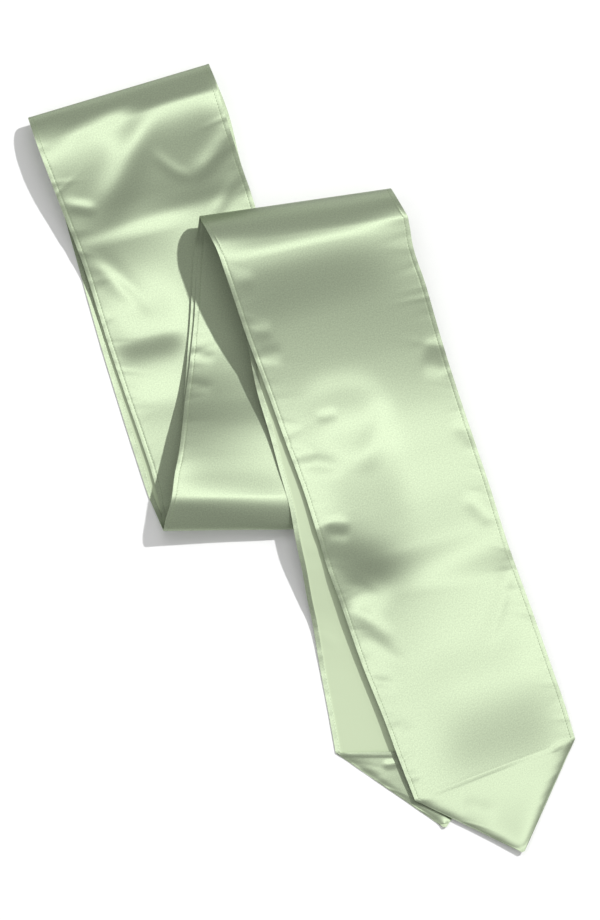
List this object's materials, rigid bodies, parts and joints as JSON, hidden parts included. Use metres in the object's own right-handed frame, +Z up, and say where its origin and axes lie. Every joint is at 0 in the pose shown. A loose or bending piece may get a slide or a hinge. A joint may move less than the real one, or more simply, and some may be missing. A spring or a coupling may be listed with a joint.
{
  "type": "satin sash",
  "caption": "Long satin sash with narrow hems and pointed ends, folded in half and laid down in a flat zigzag with soft round folds.",
  "frame": {"origin": "centre of the plan of the laid-down sash, on the surface it lies on", "axes": "+Z up from that surface, +Y from the points towards the far fold, +X to the right as seen from the points' end"},
  "size_m": [0.4374, 0.6306, 0.0417],
  "materials": {
    "satin_face": "glossy pale green satin, right side",
    "satin_wrong_side": "matt pale green wrong side of satin"
  },
  "bodies": {
    "root": {"back_run_face": "satin_face", "back_run_reverse": "satin_wrong_side", "middle_run_face": "satin_face", "middle_run_reverse": "satin_wrong_side", "front_run_face": "satin_face", "front_run_reverse": "satin_wrong_side", "far_fold": "satin_face", "near_fold_outer": "satin_face", "near_fold_inner": "satin_wrong_side", "top_fold_outer": "satin_face", "top_fold_inner": "satin_wrong_side", "front_point_facing": "satin_face", "reverse_point_facing": "satin_face"}
  },
  "joints": []
}
